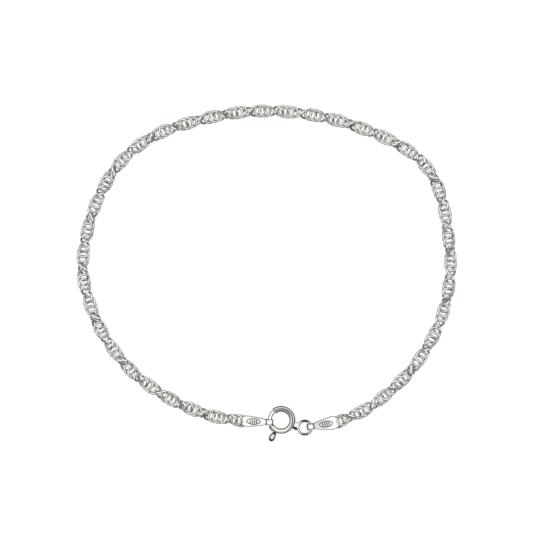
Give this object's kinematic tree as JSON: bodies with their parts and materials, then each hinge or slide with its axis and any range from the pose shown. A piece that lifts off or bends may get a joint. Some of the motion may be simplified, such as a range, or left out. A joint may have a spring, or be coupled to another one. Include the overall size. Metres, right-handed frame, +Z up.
{
  "type": "chain bracelet",
  "caption": "Twisted round-link silver chain bracelet, closed by a bolt ring between two folded end tags, lying flat in a loop.",
  "frame": {"origin": "centre of the bracelet's outline, on the surface that it lies on", "axes": "+Z up from the surface, +X across the loop's long way, the clasp on the -Y side"},
  "size_m": [0.0666, 0.0589, 0.0024],
  "materials": {
    "chain_silver": "polished sterling silver wire",
    "tag_silver": "polished sterling silver plate",
    "bolt_ring_silver": "bright polished sterling silver tube",
    "bolt_silver": "polished sterling silver wire"
  },
  "bodies": {
    "bracelet": {"chain": "chain_silver", "tag_left": "tag_silver", "tag_right": "tag_silver", "bolt_ring": "bolt_ring_silver"},
    "bolt": {"bolt": "bolt_silver"}
  },
  "joints": [
    {"name": "bolt_slide", "type": "hinge", "parent": "bracelet", "child": "bolt", "pos_m": [0.00252, -0.0257, 0.00065], "axis": [0, 0, 1], "range_deg": [0, 70], "stiffness_Nm_per_rad": 0.0015, "springref_deg": -22.92}
  ]
}
